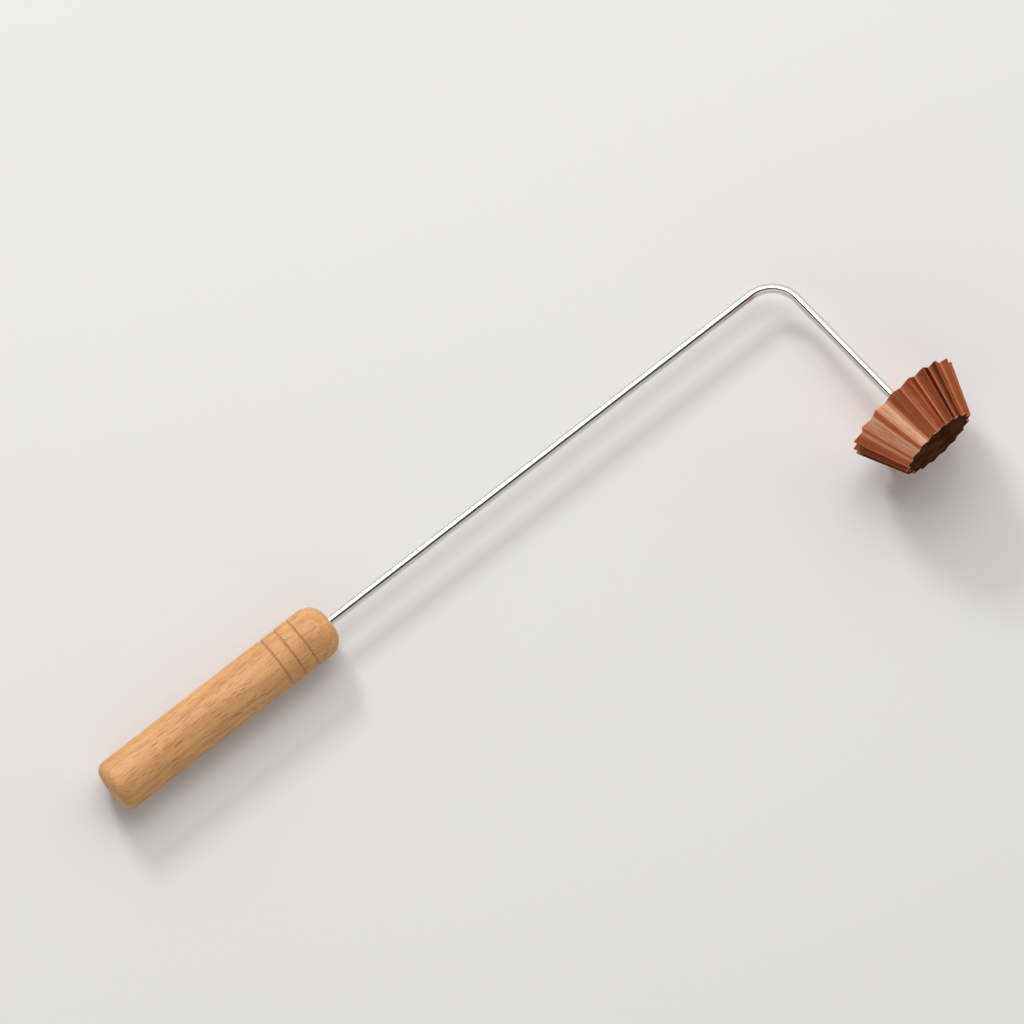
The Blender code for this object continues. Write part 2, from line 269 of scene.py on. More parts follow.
class Shader:
    """Adds nodes to one tree. Each method adds a node and returns its output."""

    def __init__(self, tree):
        self.tree = tree

    def fill(self, socket, value):
        if isinstance(value, bpy.types.NodeSocket):
            self.tree.links.new(value, socket)
        elif isinstance(value, tuple) and socket.type == "RGBA" and len(value) == 3:
            socket.default_value = (*value, 1.0)
        else:
            socket.default_value = value

    def coordinates(self, kind):
        return self.tree.nodes.new("ShaderNodeTexCoord").outputs[kind]

    def attribute(self, name):
        node = self.tree.nodes.new("ShaderNodeAttribute")
        node.attribute_name = name
        return node.outputs["Fac"]

    def vector_math(self, operation, vector, other=(0, 0, 0), output="Vector"):
        node = self.tree.nodes.new("ShaderNodeVectorMath")
        node.operation = operation
        self.fill(node.inputs[0], vector)
        self.fill(node.inputs[1], other)
        return node.outputs[output]

    def scaled(self, vector, scale):
        return self.vector_math("MULTIPLY", vector, scale)

    def shifted(self, vector, offset):
        return self.vector_math("ADD", vector, offset)

    def dot(self, vector, other):
        return self.vector_math("DOT_PRODUCT", vector, other, "Value")

    def length(self, vector):
        return self.vector_math("LENGTH", vector, output="Value")

    def noise(self, vector, scale, detail=2.0, roughness=0.5, output="Fac"):
        """Scale is one number, or three where the pattern is drawn out along an axis."""
        if isinstance(scale, tuple):
            vector = self.scaled(vector, scale)
            scale = 1.0
        node = self.tree.nodes.new("ShaderNodeTexNoise")
        self.fill(node.inputs["Vector"], vector)
        self.fill(node.inputs["Scale"], scale)
        self.fill(node.inputs["Detail"], detail)
        self.fill(node.inputs["Roughness"], roughness)
        return node.outputs[output]

    def cells(self, vector, output):
        node = self.tree.nodes.new("ShaderNodeTexVoronoi")
        self.fill(node.inputs["Vector"], vector)
        self.fill(node.inputs["Scale"], 1.0)
        return node.outputs[output]

    def math(self, operation, first, second=0.0):
        node = self.tree.nodes.new("ShaderNodeMath")
        node.operation = operation
        self.fill(node.inputs[0], first)
        self.fill(node.inputs[1], second)
        return node.outputs["Value"]

    def times(self, first, second):
        return self.math("MULTIPLY", first, second)

    def spread(self, value, low, high, to_low=0.0, to_high=1.0):
        """Takes low..high to to_low..to_high smoothly, and holds the ends outside it."""
        node = self.tree.nodes.new("ShaderNodeMapRange")
        node.interpolation_type = "SMOOTHSTEP"
        self.fill(node.inputs["Value"], value)
        self.fill(node.inputs["From Min"], low)
        self.fill(node.inputs["From Max"], high)
        self.fill(node.inputs["To Min"], to_low)
        self.fill(node.inputs["To Max"], to_high)
        return node.outputs["Result"]

    def mix(self, share, first, second, blend="MIX"):
        node = self.tree.nodes.new("ShaderNodeMix")
        node.data_type = "RGBA"
        node.blend_type = blend
        self.fill(node.inputs["Factor"], share)
        self.fill(node.inputs[6], first)
        self.fill(node.inputs[7], second)
        return node.outputs[2]

    def bump(self, height, depth, strength=1.0, under=None):
        """Depth is the height in metres that a height of 1 stands for."""
        node = self.tree.nodes.new("ShaderNodeBump")
        self.fill(node.inputs["Height"], height)
        self.fill(node.inputs["Distance"], depth)
        self.fill(node.inputs["Strength"], strength)
        if under is not None:
            self.fill(node.inputs["Normal"], under)
        return node.outputs["Normal"]


class Material(Shader):
    """A shader tree for one material."""

    def __init__(self, name):
        self.material = bpy.data.materials.new(name)
        self.material.use_nodes = True
        super().__init__(self.material.node_tree)

    def set(self, **values):
        """Fills inputs of the surface. An underscore in a name stands for a space."""
        surface = self.tree.nodes["Principled BSDF"]
        for name, value in values.items():
            self.fill(surface.inputs[name.replace("_", " ")], value)


def flecks(shader, grain, stretch, chosen, edges):
    """Short flecks along the grain: the middles of some of the cells of a stretched pattern."""
    place = shader.scaled(grain, stretch)
    picked = shader.spread(shader.cells(place, "Color"), *chosen)
    middle = shader.spread(shader.cells(place, "Distance"), *edges)
    return shader.times(middle, picked)


def beech():
    """Long fibres, short dark pores along the grain and soft bands of growth.

    The grain runs along the X axis, so a pattern with a small first scale comes out long.
    """
    shader = Material("beech")
    place = shader.scaled(shader.coordinates("Object"), (MM_PER_M, MM_PER_M, MM_PER_M))
    drift = shader.noise(place, 0.022, detail=1.0, output="Color")
    wander = shader.scaled(shader.shifted(drift, (-0.5, -0.5, -0.5)), (0, GRAIN_WANDER, GRAIN_WANDER))
    grain = shader.shifted(place, wander)

    from_pith = shader.scaled(shader.shifted(grain, PITH_SHIFT), (0, 1, 1))
    ring = shader.math("FRACT", shader.times(shader.length(from_pith), RINGS_PER_MM))
    late_wood = shader.spread(ring, 0.45, 0.97)
    blotch = shader.noise(grain, (0.05, 0.16, 0.16), detail=3.0)
    fibre = shader.noise(grain, (0.06, 2.4, 2.4), detail=4.0, roughness=0.65)
    ray_patch = shader.noise(grain, (0.5, 1.4, 1.4), detail=2.0)

    pore = flecks(shader, grain, (0.12, 3.8, 3.8), (0.55, 0.66), (0.37, 0.26))
    speck = flecks(shader, grain, (0.18, 3.8, 3.8), (0.44, 0.58), (0.38, 0.16))

    pale = shader.mix(shader.spread(blotch, 0.36, 0.64), *BEECH_PALE)
    banded = shader.mix(shader.times(late_wood, 0.34), pale, BEECH_LATE)
    fibred = shader.mix(shader.spread(fibre, 0.34, 0.62, 0.34, 0.0), banded, BEECH_FIBRE)
    patched = shader.mix(shader.spread(ray_patch, 0.52, 0.72, 0.0, 0.20), fibred, BEECH_RAY)
    specked = shader.mix(shader.times(speck, 0.22), patched, BEECH_SPECK)
    pored = shader.mix(shader.times(pore, 0.95), specked, BEECH_PORE)
    # Painted shade: the grooves are darkened as deep as they are sunk
    groove = shader.attribute("groove")
    colour = shader.mix(shader.times(groove, 0.45), pored, BEECH_GROOVE_SHADE)

    relief = shader.math("SUBTRACT", shader.times(fibre, 0.5), pore)
    normal = shader.bump(relief, 0.00006, 0.55)
    rough = shader.spread(fibre, 0.3, 0.7, 0.56, 0.44)
    shader.set(Base_Color=colour, Roughness=rough, Normal=normal, Specular_IOR_Level=0.26)
    return shader.material


def drawn_steel(name, colour, roughness, scratch_depth):
    """Bright stainless with the fine lines of drawing along it and a few short scratches.

    A pattern on the skin has its scale round the piece first, and then the one along it.
    """
    shader = Material(name)
    skin = shader.coordinates("UV")
    lines = shader.noise(skin, (9.0, 0.10, 1.0), detail=3.0, roughness=0.65)
    fine_lines = shader.noise(skin, (26.0, 0.35, 1.0), detail=2.0, roughness=0.6)
    cloud = shader.noise(skin, (0.35, 0.06, 1.0), detail=3.0)
    scratches = shader.noise(skin, (2.6, 1.1, 1.0), detail=4.0, roughness=0.75)
    scratched = shader.spread(scratches, 0.66, 0.72)

    duller = tuple(0.93 * part for part in colour)
    tint = shader.mix(shader.spread(cloud, 0.3, 0.7), colour, duller)
    shade = shader.mix(shader.spread(lines, 0.35, 0.65, 0.16, 0.0), tint, STEEL_LINE)
    rough = shader.math(
        "ADD",
        shader.spread(lines, 0.3, 0.7, roughness - 0.04, roughness + 0.05),
        shader.times(scratched, 0.12),
    )
    coarse = shader.bump(lines, scratch_depth, 0.5)
    normal = shader.bump(fine_lines, scratch_depth / 2, 0.5, coarse)
    shader.set(Base_Color=shade, Metallic=1.0, Roughness=rough, Normal=normal)
    return shader.material


def lit_and_shaded_copper(shader, clouded, painted_light):
    """Plain copper, painted half lit and then lit by the painted light paint, and painted dark by the
    painted shade paint.
    """
    plain = shader.mix(clouded, *COPPER_PLAIN)
    half_bright = shader.mix(clouded, *COPPER_PAINTED_HALF_LIT)
    bright = shader.mix(clouded, *COPPER_PAINTED_LIT)
    painted_lit = shader.mix(painted_light, plain, shader.mix(painted_light, half_bright, bright))
    return shader.mix(shader.attribute("painted_shade"), painted_lit, COPPER_PAINTED_SHADE)


def copper_edges(shader, base, painted_light, mottle):
    """Painted highlight lines down the valleys and the crests, and bright nicks on the edges at both
    ends that are partly painted glints.
    """
    highlight_line = shader.mix(painted_light, *COPPER_HIGHLIGHT_LINE)
    # Painted highlight lines: strong in the valleys, faint on the crests
    valley = shader.times(shader.attribute("valley"), 0.85)
    crest = shader.times(shader.attribute("crest"), 0.10)
    lined = shader.mix(shader.math("MAXIMUM", valley, crest), base, highlight_line)
    # Bright nicks on the end edges, partly painted glints
    nick_and_glint = shader.spread(mottle, 0.45, 0.6, 0.0, 0.7)
    nicked_and_glinting = shader.times(shader.attribute("end_edge"), nick_and_glint)
    return shader.mix(nicked_and_glinting, lined, COPPER_NICK_AND_GLINT)


def machined_copper():
    """Bare copper with tool marks down the flutes and rings on the ends. Some flute sides carry painted
    light and others painted shade, the edges carry painted highlight lines and bright nicks, and the
    narrow end is dark with soot and painted shade.
    """
    shader = Material("machined_copper")
    skin = shader.coordinates("UV")
    place = shader.scaled(shader.coordinates("Object"), (MM_PER_M, MM_PER_M, MM_PER_M))
    face = shader.attribute("face")
    down_flutes = shader.noise(skin, (1.7, 0.03, 1.0), detail=4.0, roughness=0.7)
    around_ends = shader.noise(skin, (0.02, 4.5, 1.0), detail=3.0, roughness=0.6)
    marks = shader.mix(face, down_flutes, around_ends)
    fine_marks = shader.noise(skin, (9.0, 0.16, 1.0), detail=2.0, roughness=0.6)
    cloud = shader.noise(place, 0.16, detail=3.0, roughness=0.55)
    mottle = shader.noise(place, 0.9, detail=3.0, roughness=0.6)
    grit = shader.noise(place, 4.2, detail=2.0, roughness=0.6)
    clouded = shader.spread(cloud, 0.35, 0.65)

    painted_light = shader.attribute("painted_light")
    tone = lit_and_shaded_copper(shader, clouded, painted_light)
    marked = shader.spread(marks, 0.30, 0.70)
    streak = shader.mix(marked, *STREAK)
    faint_streak = shader.mix(marked, *FAINT_STREAK)
    smooth = shader.math("MAXIMUM", painted_light, shader.times(face, 0.7))
    streaked = shader.mix(1.0, tone, shader.mix(smooth, streak, faint_streak), "MULTIPLY")
    fine_marked = shader.mix(shader.spread(fine_marks, 0.3, 0.7), *FINE_STREAK)
    fine = shader.mix(1.0, streaked, fine_marked, "MULTIPLY")
    mottled = shader.mix(shader.spread(mottle, 0.52, 0.74, 0.0, 0.22), fine, COPPER_MOTTLE)
    edged = copper_edges(shader, mottled, painted_light, mottle)
    # The narrow end: soot, darkened further as painted shade
    sooty_and_shaded = shader.mix(clouded, *SOOT_AND_SHADE)
    narrow_face = shader.attribute("narrow_face")
    colour = shader.mix(narrow_face, edged, sooty_and_shaded)

    rough = shader.math(
        "ADD",
        shader.spread(marks, 0.3, 0.7, 0.52, 0.42),
        shader.spread(grit, 0.45, 0.75, 0.0, 0.08),
    )
    coarse = shader.bump(marks, 0.00003, 0.5)
    normal = shader.bump(fine_marks, 0.00001, 0.5, coarse)
    shader.set(Base_Color=colour, Roughness=rough, Normal=normal, Specular_Tint=COPPER_SHEEN)
    # The narrow end is made matte, as part of its painted shade
    shader.set(Metallic=shader.spread(narrow_face, 0.0, 1.0, 0.88, 0.0))
    shader.set(Specular_IOR_Level=shader.spread(narrow_face, 0.0, 1.0, 0.20, 0.0))
    return shader.material


def map_skin(mesh, grid):
    """The UV map in millimetres: u runs along the longest ring, and v from ring to ring."""
    closed = np.concatenate([grid, grid[:, :1]], axis=1)
    round_steps = np.linalg.norm(np.diff(closed, axis=1), axis=2)
    along_steps = np.linalg.norm(np.diff(closed, axis=0), axis=2)
    longest = np.argmax(round_steps.sum(axis=1))
    u = np.zeros(closed.shape[:2])
    v = np.zeros(closed.shape[:2])
    u[:, 1:] = np.cumsum(round_steps[longest])
    v[1:] = np.cumsum(along_steps, axis=0)
    skin = np.stack([u, v], axis=2) * MM_PER_M
    corners = np.stack([skin[:-1, :-1], skin[:-1, 1:], skin[1:, 1:], skin[1:, :-1]], axis=2)
    layer = mesh.uv_layers.new(name="UVMap")
    layer.data.foreach_set("uv", corners.astype(np.float32).ravel())


def ring_mesh(name, rings, paints=None):
    """A skin over rings of points that have the same count, with its UV map and its paints."""
    count = len(rings[0])
    grid = np.array([[tuple(point) for point in ring] for ring in rings])
    faces = []
    for row in range(len(rings) - 1):
        for column in range(count):
            after = (column + 1) % count
            first = row * count
            second = first + count
            faces.append((first + column, first + after, second + after, second + column))
    mesh = bpy.data.meshes.new(name)
    mesh.from_pydata(grid.reshape(-1, 3).tolist(), [], faces)

    map_skin(mesh, grid)
    for paint, values in (paints or {}).items():
        attribute = mesh.attributes.new(paint, "FLOAT", "POINT")
        attribute.data.foreach_set("value", np.array(values, np.float32).ravel())
    return mesh


def add_piece(mesh, material, body, node, sharp_degrees=None):
    """Joins the points that meet, shades the piece smooth and lets it stand for its solid."""
    shape = bmesh.new()
    shape.from_mesh(mesh)
    bmesh.ops.remove_doubles(shape, verts=shape.verts, dist=MERGE_DISTANCE)
    bmesh.ops.recalc_face_normals(shape, faces=shape.faces)
    shape.to_mesh(mesh)
    shape.free()
    mesh.shade_smooth()
    if sharp_degrees is not None:
        mesh.set_sharp_from_angle(angle=math.radians(sharp_degrees))
    mesh.materials.append(material)
    piece = bpy.data.objects.new(mesh.name, mesh)
    bpy.context.scene.collection.objects.link(piece)
    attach(piece, body)
    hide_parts(node)


def arc(centre, radius, start, end, steps):
    """Points (radius, height) on an arc, from angle start to angle end, counted from the X axis."""
    angles = np.linspace(start, end, steps + 1)
    return [(centre[0] + radius * math.cos(a), centre[1] + radius * math.sin(a)) for a in angles]


def rounded(before, corner, after, radius, steps):
    """The arc that rounds a corner of a line of (x, y) points."""
    corner = Vector(corner)
    back = (Vector(before) - corner).normalized()
    ahead = (Vector(after) - corner).normalized()
    half = back.angle(ahead) / 2
    reach = radius / math.tan(half)
    start = corner + back * reach
    end = corner + ahead * reach
    centre = corner + (back + ahead).normalized() * (radius / math.sin(half))
    sweep = math.pi - 2 * half
    side = 1 if back.x * ahead.y - back.y * ahead.x < 0 else -1
    first = start - centre
    points = []
    for step in range(steps + 1):
        turn = Matrix.Rotation(side * sweep * step / steps, 2)
        points.append(tuple(centre + turn @ first))
    points[-1] = tuple(end)
    return points


def held(profile):
    """Adds a point near both ends of each long straight, so that smooth shading stays flat on it."""
    points = [profile[0]]
    for before, after in zip(profile, profile[1:]):
        length = math.dist(before, after)
        if length > LONG_STRAIGHT:
            share = HOLD_DISTANCE / length
            points.append(tuple(Vector(before).lerp(Vector(after), share)))
            points.append(tuple(Vector(after).lerp(Vector(before), share)))
        points.append(after)
    return points


def turned_rings(profile, steps, place):
    """Rings for a profile of (radius, height) points that is turned about the Z axis of place."""
    angles = [math.tau * step / steps for step in range(steps)]
    rings = []
    for radius, height in profile:
        ring = [place @ Vector((radius * math.cos(a), radius * math.sin(a), height)) for a in angles]
        rings.append(ring)
    return rings


def groove_profile(middle):
    """Down past one groove: a rounded lip, a V with a small round floor and the other lip."""
    top = (HANDLE_RADIUS, middle + GROOVE_WIDTH / 2)
    floor = (HANDLE_RADIUS - GROOVE_DEPTH, middle)
    bottom = (HANDLE_RADIUS, middle - GROOVE_WIDTH / 2)
    above = (HANDLE_RADIUS, middle + GROOVE_WIDTH)
    below = (HANDLE_RADIUS, middle - GROOVE_WIDTH)
    points = rounded(above, top, floor, GROOVE_LIP_RADIUS, SMALL_ARC_STEPS)
    points += rounded(top, floor, bottom, GROOVE_FLOOR_RADIUS, SMALL_ARC_STEPS)
    points += rounded(floor, bottom, below, GROOVE_LIP_RADIUS, SMALL_ARC_STEPS)
    return points


def handle_profile():
    """Up the bore, over the front, past the grooves and round the butt. Height 0 is the butt."""
    bore = ROD_RADIUS + ROD_FIT
    bore_bottom = HANDLE_LENGTH - TANG_LENGTH - SEAT_GAP
    points = [
        (0, bore_bottom - bore * math.tan(DRILL_POINT_ANGLE)),
        (bore, bore_bottom),
        (bore, HANDLE_LENGTH - MOUTH_LEAD_IN),
        (bore + MOUTH_LEAD_IN, HANDLE_LENGTH),
    ]
    front = (HANDLE_RADIUS - FRONT_CORNER_RADIUS, HANDLE_LENGTH - FRONT_CORNER_RADIUS)
    points += arc(front, FRONT_CORNER_RADIUS, math.radians(90), 0, 2 * ARC_STEPS)
    for groove in range(GROOVE_COUNT):
        points += groove_profile(HANDLE_LENGTH - GROOVE_SETBACK - groove * GROOVE_SPACING)
    corner_radius = HANDLE_RADIUS - BUTT_CORNER_RADIUS
    dome_edge = corner_radius + BUTT_CORNER_RADIUS * math.sin(BUTT_DOME_ANGLE)
    dome_radius = dome_edge / math.sin(BUTT_DOME_ANGLE)
    dome_height = dome_radius * (1 - math.cos(BUTT_DOME_ANGLE))
    corner = (corner_radius, dome_height + BUTT_CORNER_RADIUS * math.cos(BUTT_DOME_ANGLE))
    down = math.radians(-90)
    points += arc(corner, BUTT_CORNER_RADIUS, 0, down + BUTT_DOME_ANGLE, 2 * ARC_STEPS)
    points += arc((0, dome_radius), dome_radius, down + BUTT_DOME_ANGLE, down, ARC_STEPS)[1:]
    return points


def make_handle():
    profile = held(handle_profile())
    place = frame_on(BUTT_CENTRE, ALONG_HANDLE, Vector((0, 0, 1)))
    rings = turned_rings(profile, TURNED_STEPS, place)
    last_groove = GROOVE_SETBACK + (GROOVE_COUNT - 1) * GROOVE_SPACING + GROOVE_WIDTH
    groove = []
    for radius, height in profile:
        grooved = GROOVE_SETBACK - GROOVE_WIDTH < HANDLE_LENGTH - height < last_groove
        sunk = max(0, (HANDLE_RADIUS - radius) / GROOVE_DEPTH) if grooved else 0
        groove.append([min(1, sunk)] * TURNED_STEPS)
    mesh = ring_mesh("beech_handle", rings, {"groove": groove})
    add_piece(mesh, beech(), "handle_and_rod", "handle")


def thread_radius(turn, run):
    """The thread's radius at an angle and a distance along it. The helix is right-handed."""
    phase = (run / THREAD_PITCH - turn / math.tau) % 1
    rise = abs(2 * phase - 1)
    low = THREAD_ROOT_SHARE
    high = 1 - THREAD_CREST_SHARE
    height = min(1, max(0, (rise - low) / (high - low)))
    return THREAD_CREST_RADIUS - THREAD_DEPTH * (1 - height)


def shank_stations(bend_start):
    """The straight bar, from the tang's chamfered end to just before the bend."""
    start = FRONT_CENTRE - ALONG_HANDLE * TANG_LENGTH
    full = start + ALONG_HANDLE * TANG_TIP_CHAMFER
    return [
        (start, ALONG_HANDLE, ROD_RADIUS - TANG_TIP_CHAMFER, 0),
        (full, ALONG_HANDLE, ROD_RADIUS, 0),
        (full + ALONG_HANDLE * HOLD_DISTANCE, ALONG_HANDLE, ROD_RADIUS, 0),
        (bend_start - ALONG_HANDLE * HOLD_DISTANCE, ALONG_HANDLE, ROD_RADIUS, 0),
    ]


def bend_stations(bend_start, bend_angle):
    """Round the bend, from the end of the straight bar to the start of the leg."""
    inward = BEND_NORMAL.cross(ALONG_HANDLE)
    stations = []
    for angle in np.linspace(0, bend_angle, BEND_STEPS + 1):
        over = BEND_RADIUS * math.sin(angle)
        down = BEND_RADIUS * (1 - math.cos(angle))
        ahead = ALONG_HANDLE * math.cos(angle) - inward * math.sin(angle)
        stations.append((bend_start + ALONG_HANDLE * over - inward * down, ahead, ROD_RADIUS, 0))
    return stations


def leg_stations(corner_length):
    """The leg, from just after the bend to the tip. Its thread starts a little before the nut."""
    thread_start = NUT_TOP - SEAT_GAP
    plain_end = thread_start - THREAD_RUNOUT
    tip = LEG_LENGTH + THREAD_IN_HEAD
    step = THREAD_PITCH / THREAD_STEPS_PER_TURN
    stations = []
    for run in (corner_length + HOLD_DISTANCE, plain_end - HOLD_DISTANCE, plain_end):
        stations.append((CORNER + ALONG_LEG * run, ALONG_LEG, ROD_RADIUS, 0))
    for run in np.arange(thread_start - THREAD_RUNOUT / 2, tip, step):
        cut = min(1, (run - thread_start + THREAD_RUNOUT / 2) / THREAD_RUNOUT)
        end = max(0, run - (tip - THREAD_TIP_CHAMFER))
        radius = ROD_RADIUS - (ROD_RADIUS - THREAD_CREST_RADIUS) * cut - end
        stations.append((CORNER + ALONG_LEG * run, ALONG_LEG, radius, cut))
    return stations


def rod_stations():
    """(place, direction, radius, thread share) along the rod, from the tang's end to the tip."""
    bend_angle = ALONG_HANDLE.angle(ALONG_LEG)
    corner_length = BEND_RADIUS * math.tan(bend_angle / 2)
    bend_start = CORNER - ALONG_HANDLE * corner_length
    return [
        *shank_stations(bend_start),
        *bend_stations(bend_start, bend_angle),
        *leg_stations(corner_length),
    ]


def make_rod():
    stations = rod_stations()
    rings = [[stations[0][0]] * ROD_STEPS]
    for place, ahead, radius, cut in stations:
        side = ahead.cross(BEND_NORMAL)
        run = (place - CORNER).dot(ALONG_LEG)
        least = min(radius, THREAD_ROOT_RADIUS)
        ring = []
        for step in range(ROD_STEPS):
            turn = math.tau * step / ROD_STEPS
            out = BEND_NORMAL * math.cos(turn) + side * math.sin(turn)
            sunk = (THREAD_CREST_RADIUS - thread_radius(turn, run)) * cut
            ring.append(place + out * max(radius - sunk, least))
        rings.append(ring)
    rings.append([stations[-1][0]] * ROD_STEPS)
    material = drawn_steel("drawn_stainless", ROD_STEEL, roughness=0.15, scratch_depth=0.00001)
    mesh = ring_mesh("stainless_rod", rings)
    add_piece(mesh, material, "handle_and_rod", "rod", sharp_degrees=30)


def make_nut():
    """A turned hexagon: the chamfer at each end leaves its arcs on the flats."""
    flat = NUT_ACROSS_FLATS / 2
    hole = ROD_RADIUS
    face = flat * NUT_FACE_SHARE
    edge = NUT_EDGE_RADIUS
    edge_rise = edge * math.tan(NUT_CHAMFER_ANGLE)
    place = LEG @ Matrix.Translation((0, 0, NUT_TOP))
    sixth = math.tau / NUT_SIDES
    rows = []
    for step in range(NUT_STEPS):
        turn = math.tau * step / NUT_STEPS
        side = flat / math.cos((turn % sixth) - sixth / 2)
        drop = (side - face) * math.tan(NUT_CHAMFER_ANGLE)
        half = [
            (hole, NUT_MOUTH_CHAMFER),
            (hole + NUT_MOUTH_CHAMFER, 0),
            (face - edge, 0),
            (face + edge, edge_rise),
            (side - edge, drop - edge_rise),
            (side - edge * NUT_CORNER_EASE, drop),
            (side, drop + edge),
        ]
        other_half = [(radius, NUT_HEIGHT - height) for radius, height in reversed(half)]
        outline = [*half, *other_half, half[0]]
        rows.append([Vector((r * math.cos(turn), r * math.sin(turn), z)) for r, z in outline])
    rings = [[place @ row[level] for row in rows] for level in range(len(rows[0]))]
    material = drawn_steel("turned_stainless", NUT_STEEL, roughness=0.27, scratch_depth=0.00003)
    mesh = ring_mesh("hexagon_stop_nut", rings)
    add_piece(mesh, material, "handle_and_rod", "stop_nut", sharp_degrees=35)


def make_washer():
    """Punched: the edges towards the nut are rounded over, and those towards the head are sharper."""
    edge = WASHER_EDGE_RADIUS
    sharp = WASHER_SHARP_RADIUS
    far_corner = (WASHER_RADIUS - sharp, WASHER_THICKNESS - sharp)
    profile = [(ROD_RADIUS, edge)]
    profile += arc((ROD_RADIUS + edge, edge), edge, math.pi, math.radians(270), SMALL_ARC_STEPS)
    profile += arc((WASHER_RADIUS - edge, edge), edge, math.radians(-90), 0, SMALL_ARC_STEPS)
    profile += arc(far_corner, sharp, 0, math.radians(90), SMALL_ARC_STEPS)
    profile += [(ROD_RADIUS, WASHER_THICKNESS), (ROD_RADIUS, edge)]
    place = LEG @ Matrix.Translation((0, 0, LEG_LENGTH - SEAT_GAP - WASHER_THICKNESS))
    rings = turned_rings(held(profile), TURNED_STEPS, place)
    material = drawn_steel("punched_stainless", WASHER_STEEL, roughness=0.25, scratch_depth=0.00003)
    mesh = ring_mesh("plain_washer", rings)
    add_piece(mesh, material, "loose_washer", "washer", sharp_degrees=40)


def around(ridge, centre, spread):
    """1 at the ridge number centre, less on both sides of it, nearly 0 past twice the spread."""
    half = FLUTE_COUNT / 2
    distance = (ridge - centre + half) % FLUTE_COUNT - half
    return math.exp(-((distance / spread) ** 2))


def summed(ridge, places):
    """The amounts of all (centre, spread, amount) places, as they reach a ridge."""
    return sum(amount * around(ridge, centre, spread) for centre, spread, amount in places)


def share_at(ridge, places):
    """The same sum as a share, which stays at 1 or below."""
    return min(1.0, summed(ridge, places))


def ridge_faults(chance):
    """Each ridge's turn and loss of radius, and the turn of the valley after it."""
    turns = chance.uniform(-RIDGE_TURN_FAULT, RIDGE_TURN_FAULT, FLUTE_COUNT)
    losses = chance.uniform(0, RIDGE_RADIUS_FAULT, FLUTE_COUNT)
    faults = []
    for ridge in range(FLUTE_COUNT):
        turn = turns[ridge] + summed(ridge, WANDERED_RIDGES)
        loss = losses[ridge] + summed(ridge, LOW_RIDGES)
        faults.append((turn, loss, summed(ridge, WANDERED_VALLEYS)))
    return faults


def flute_outline(radius, depth, crest_width, faults):
    """The corners of the fluted outline, four to a flute, as (point, is on a crest)."""
    valley = radius - depth
    valley_half = math.asin(crest_width * VALLEY_WIDTH_SHARE / 2 / valley)
    ridge_angles = [math.tau * flute / FLUTE_COUNT + fault[0] for flute, fault in enumerate(faults)]
    ridge_angles.append(ridge_angles[0] + math.tau)
    corners = []
    for flute, (_, loss, valley_turn) in enumerate(faults):
        crest = radius - loss * radius / RIM_RADIUS
        crest_half = math.asin(crest_width / 2 / crest)
        ridge_angle = ridge_angles[flute]
        valley_angle = (ridge_angle + ridge_angles[flute + 1]) / 2 + valley_turn
        for turn in (ridge_angle - crest_half, ridge_angle + crest_half):
            corners.append(((crest * math.cos(turn), crest * math.sin(turn)), True))
        for turn in (valley_angle - valley_half, valley_angle + valley_half):
            corners.append(((valley * math.cos(turn), valley * math.sin(turn)), False))
    return corners


def corner_paint(ridge, on_crest):
    """The paints of a rounded corner: crest, valley, painted light, painted shade, and rim wear with
    painted highlight.
    """
    bright = share_at(ridge, PAINTED_LIGHT_BEFORE)
    if not on_crest:
        return (0.0, 1.0, bright, 0.0, 0.0)
    crest_bright = CREST_PAINTED_LIGHT_SHARE * bright + share_at(ridge, PAINTED_HIGHLIGHT_CREST)
    dark = CREST_PAINTED_SHADE_SHARE * (share_at(ridge, PAINTED_SHADE_AFTER) + share_at(ridge, PAINTED_SHADE_BEFORE)) / 2
    return (1.0, 0.0, crest_bright, dark, share_at(ridge, RIM_WEAR_AND_HIGHLIGHT))


def side_paint(ridge, from_crest, is_after):
    """The same paints on the side after a ridge or before it, at a share of the way down it."""
    # A painted highlight strip along the side towards the valley
    strip = max(0.0, from_crest - HIGHLIGHT_STRIP_START) / (1 - HIGHLIGHT_STRIP_START)
    rim_wear_and_highlight = share_at(ridge, RIM_WEAR_AND_HIGHLIGHT) * (1 - from_crest)
    if is_after:
        lit = share_at(ridge, PAINTED_LIGHT_AFTER) + share_at(ridge + 1, PAINTED_LIGHT_BEFORE) * strip
        fading = PAINTED_SHADE_AT_CREST + (PAINTED_SHADE_AT_VALLEY - PAINTED_SHADE_AT_CREST) * from_crest
        return (0.0, HIGHLIGHT_STRIP_SHARE * strip, lit, share_at(ridge, PAINTED_SHADE_AFTER) * fading, rim_wear_and_highlight)
    lit = share_at(ridge, PAINTED_LIGHT_BEFORE) * (PAINTED_LIGHT_AT_CREST + (1 - PAINTED_LIGHT_AT_CREST) * from_crest)
    lit += share_at(ridge, PAINTED_HIGHLIGHT_NEAR_VALLEY) * strip
    return (0.0, 0.0, lit, share_at(ridge, PAINTED_SHADE_BEFORE), rim_wear_and_highlight)


